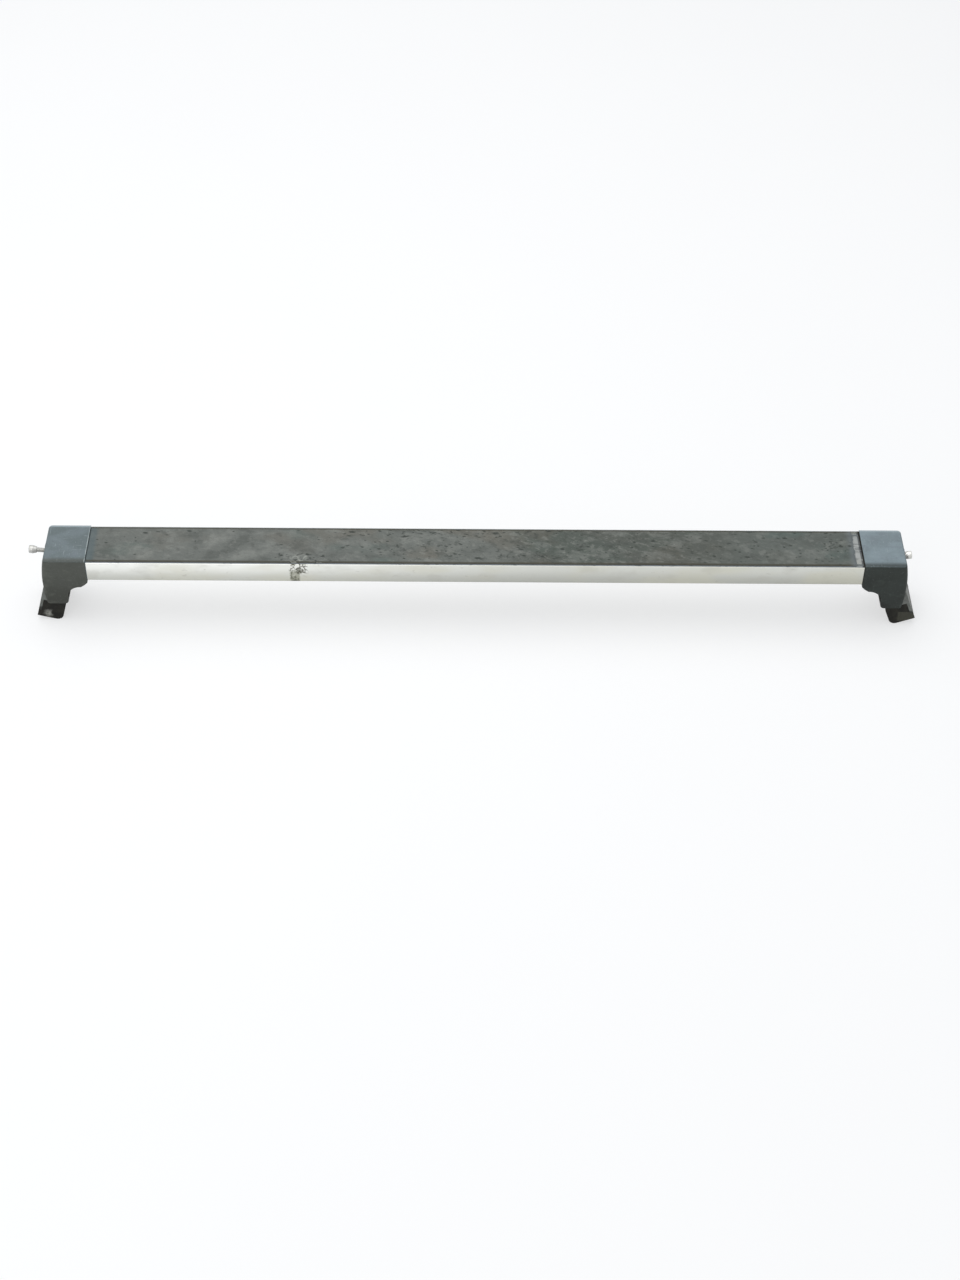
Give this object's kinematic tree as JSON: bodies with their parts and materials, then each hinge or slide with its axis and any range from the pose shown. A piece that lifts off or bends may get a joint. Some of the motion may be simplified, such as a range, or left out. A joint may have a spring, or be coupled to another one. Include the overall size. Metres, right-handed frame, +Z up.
{
  "type": "roof rack crossbar",
  "caption": "Vehicle roof rack crossbar: aluminium bar with a rubber tread and clamp feet for raised side rails, jaws open",
  "frame": {"origin": "middle of the tread's top face, halfway between the two feet", "axes": "+X along the bar to the foot that is on the right in the picture, +Y to the rear face, +Z up"},
  "size_m": [1.1221, 0.07, 0.102],
  "materials": {
    "bar_aluminium": "silver anodised extrusion, scuffed",
    "tread_rubber": "dark grey rubber, weathered and dusty",
    "foot_plastic": "fine-grained dark grey plastic",
    "cast_alloy": "die-cast aluminium alloy, dull",
    "seal_rubber": "soft black rubber",
    "pad_rubber": "black moulded rubber",
    "zinc_steel": "zinc-plated steel",
    "spring_steel": "blued spring steel"
  },
  "bodies": {
    "crossbar": {"bar_extrusion": "bar_aluminium", "rubber_tread": "tread_rubber", "left_foot_housing": "foot_plastic", "left_foot_bracket": "cast_alloy", "left_end_gasket": "seal_rubber", "left_saddle_pad": "pad_rubber", "left_pivot_pin": "zinc_steel", "left_pin_clip": "spring_steel", "left_bar_screws": "zinc_steel", "left_housing_screws": "zinc_steel", "right_foot_housing": "foot_plastic", "right_foot_bracket": "cast_alloy", "right_end_gasket": "seal_rubber", "right_saddle_pad": "pad_rubber", "right_pivot_pin": "zinc_steel", "right_pin_clip": "spring_steel", "right_bar_screws": "zinc_steel", "right_housing_screws": "zinc_steel"},
    "left_arm": {"left_clamp_arm": "cast_alloy", "left_hook_pad": "pad_rubber"},
    "left_nut": {"left_barrel_nut": "zinc_steel"},
    "left_collar": {"left_screw_collar": "zinc_steel"},
    "left_screw": {"left_clamp_screw": "zinc_steel"},
    "right_arm": {"right_clamp_arm": "cast_alloy", "right_hook_pad": "pad_rubber"},
    "right_nut": {"right_barrel_nut": "zinc_steel"},
    "right_collar": {"right_screw_collar": "zinc_steel"},
    "right_screw": {"right_clamp_screw": "zinc_steel"}
  },
  "joints": [
    {"name": "left_arm_pivot", "type": "hinge", "parent": "crossbar", "child": "left_arm", "pos_m": [-0.525, 0, -0.0485], "axis": [0, -1, 0], "range_deg": [-10.5, 29.5]},
    {"name": "left_nut_turn", "type": "hinge", "parent": "left_arm", "child": "left_nut", "pos_m": [-0.50789, 0, -0.01485], "axis": [0, -1, 0], "range_deg": [-18.2, 6.8]},
    {"name": "left_screw_travel", "type": "slide", "parent": "left_nut", "child": "left_collar", "axis": [0.9945, 0, -0.1047], "range_m": [-0.005, 0.004]},
    {"name": "left_screw_turn", "type": "hinge", "parent": "left_collar", "child": "left_screw", "pos_m": [-0.5397, 0, -0.0115], "axis": [0.9945, 0, -0.1047], "range_deg": [-1801, 1441]},
    {"name": "right_arm_pivot", "type": "hinge", "parent": "crossbar", "child": "right_arm", "pos_m": [0.525, 0, -0.0485], "axis": [0, 1, 0], "range_deg": [0, 35.5]},
    {"name": "right_nut_turn", "type": "hinge", "parent": "right_arm", "child": "right_nut", "pos_m": [0.50446, 0, -0.01682], "axis": [0, 1, 0], "range_deg": [-21.8, 0.5]},
    {"name": "right_screw_travel", "type": "slide", "parent": "right_nut", "child": "right_collar", "axis": [-0.9888, 0, -0.1494], "range_m": [-0.012, 0]},
    {"name": "right_screw_turn", "type": "hinge", "parent": "right_collar", "child": "right_screw", "pos_m": [0.5397, 0, -0.0115], "axis": [-0.9888, 0, -0.1494], "range_deg": [-4321, 1]}
  ],
  "couplings": [
    {"joint": "left_nut_turn", "follows": "left_arm_pivot", "ratio": -0.6},
    {"joint": "left_screw_turn", "follows": "left_screw_travel", "rad_per_m": 6283.2},
    {"joint": "right_nut_turn", "follows": "right_arm_pivot", "ratio": -0.6},
    {"joint": "right_screw_turn", "follows": "right_screw_travel", "rad_per_m": 6283.2}
  ]
}
